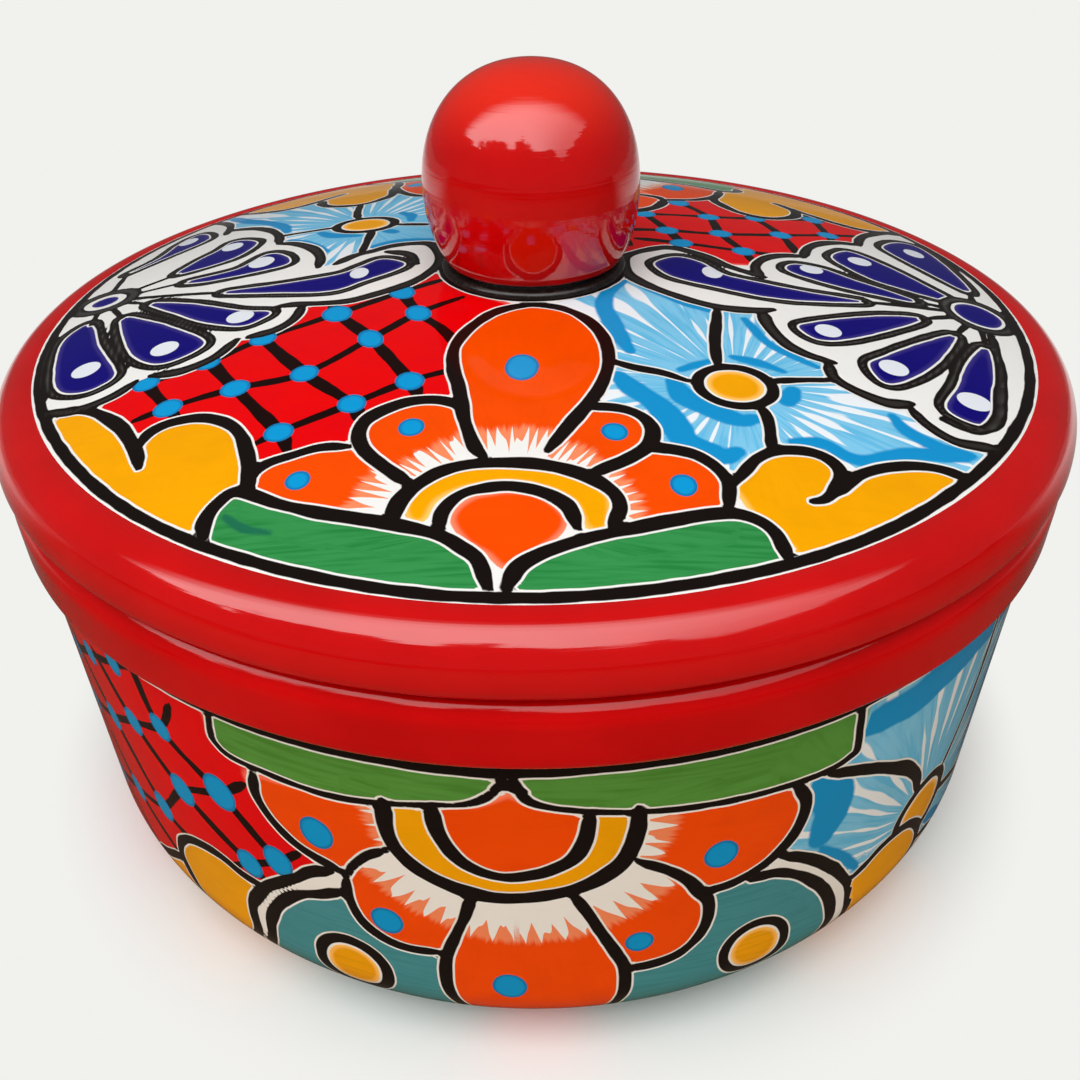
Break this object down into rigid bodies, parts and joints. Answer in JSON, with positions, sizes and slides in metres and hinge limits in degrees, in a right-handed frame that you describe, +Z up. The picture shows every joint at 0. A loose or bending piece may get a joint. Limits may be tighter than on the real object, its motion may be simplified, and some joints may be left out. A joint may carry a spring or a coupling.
{
  "type": "tortilla warmer",
  "caption": "Round straight-sided earthenware keeper with a low domed lid that lifts off by a ball knob, glazed and painted all over.",
  "frame": {"origin": "the middle of the foot ring's underside, on the surface that the bowl stands on", "axes": "+Z up along the axis of the bowl and the lid, the way the lid lifts; +Y from the front, where the large flower faces, to the back; +X to the right"},
  "size_m": [0.25, 0.25, 0.1786],
  "materials": {
    "painted_glaze": "clear gloss glaze over hand painting on a white ground",
    "red_glaze": "gloss red glaze",
    "white_glaze": "gloss white glaze",
    "black_glaze": "gloss black glaze",
    "bare_clay": "matt unglazed earthenware"
  },
  "bodies": {
    "bowl": {"bowl_body": "painted_glaze", "bowl_foot_ring": "bare_clay", "bowl_rim_band": "red_glaze"},
    "lid": {"lid_dome": "painted_glaze", "lid_rim_roll": "red_glaze", "lid_locating_flange": "white_glaze", "lid_knob": "red_glaze", "knob_collar": "black_glaze"}
  },
  "joints": [
    {"name": "lid_lift", "type": "slide", "parent": "bowl", "child": "lid", "axis": [0, 0, 1], "range_m": [0, 0.12]}
  ]
}
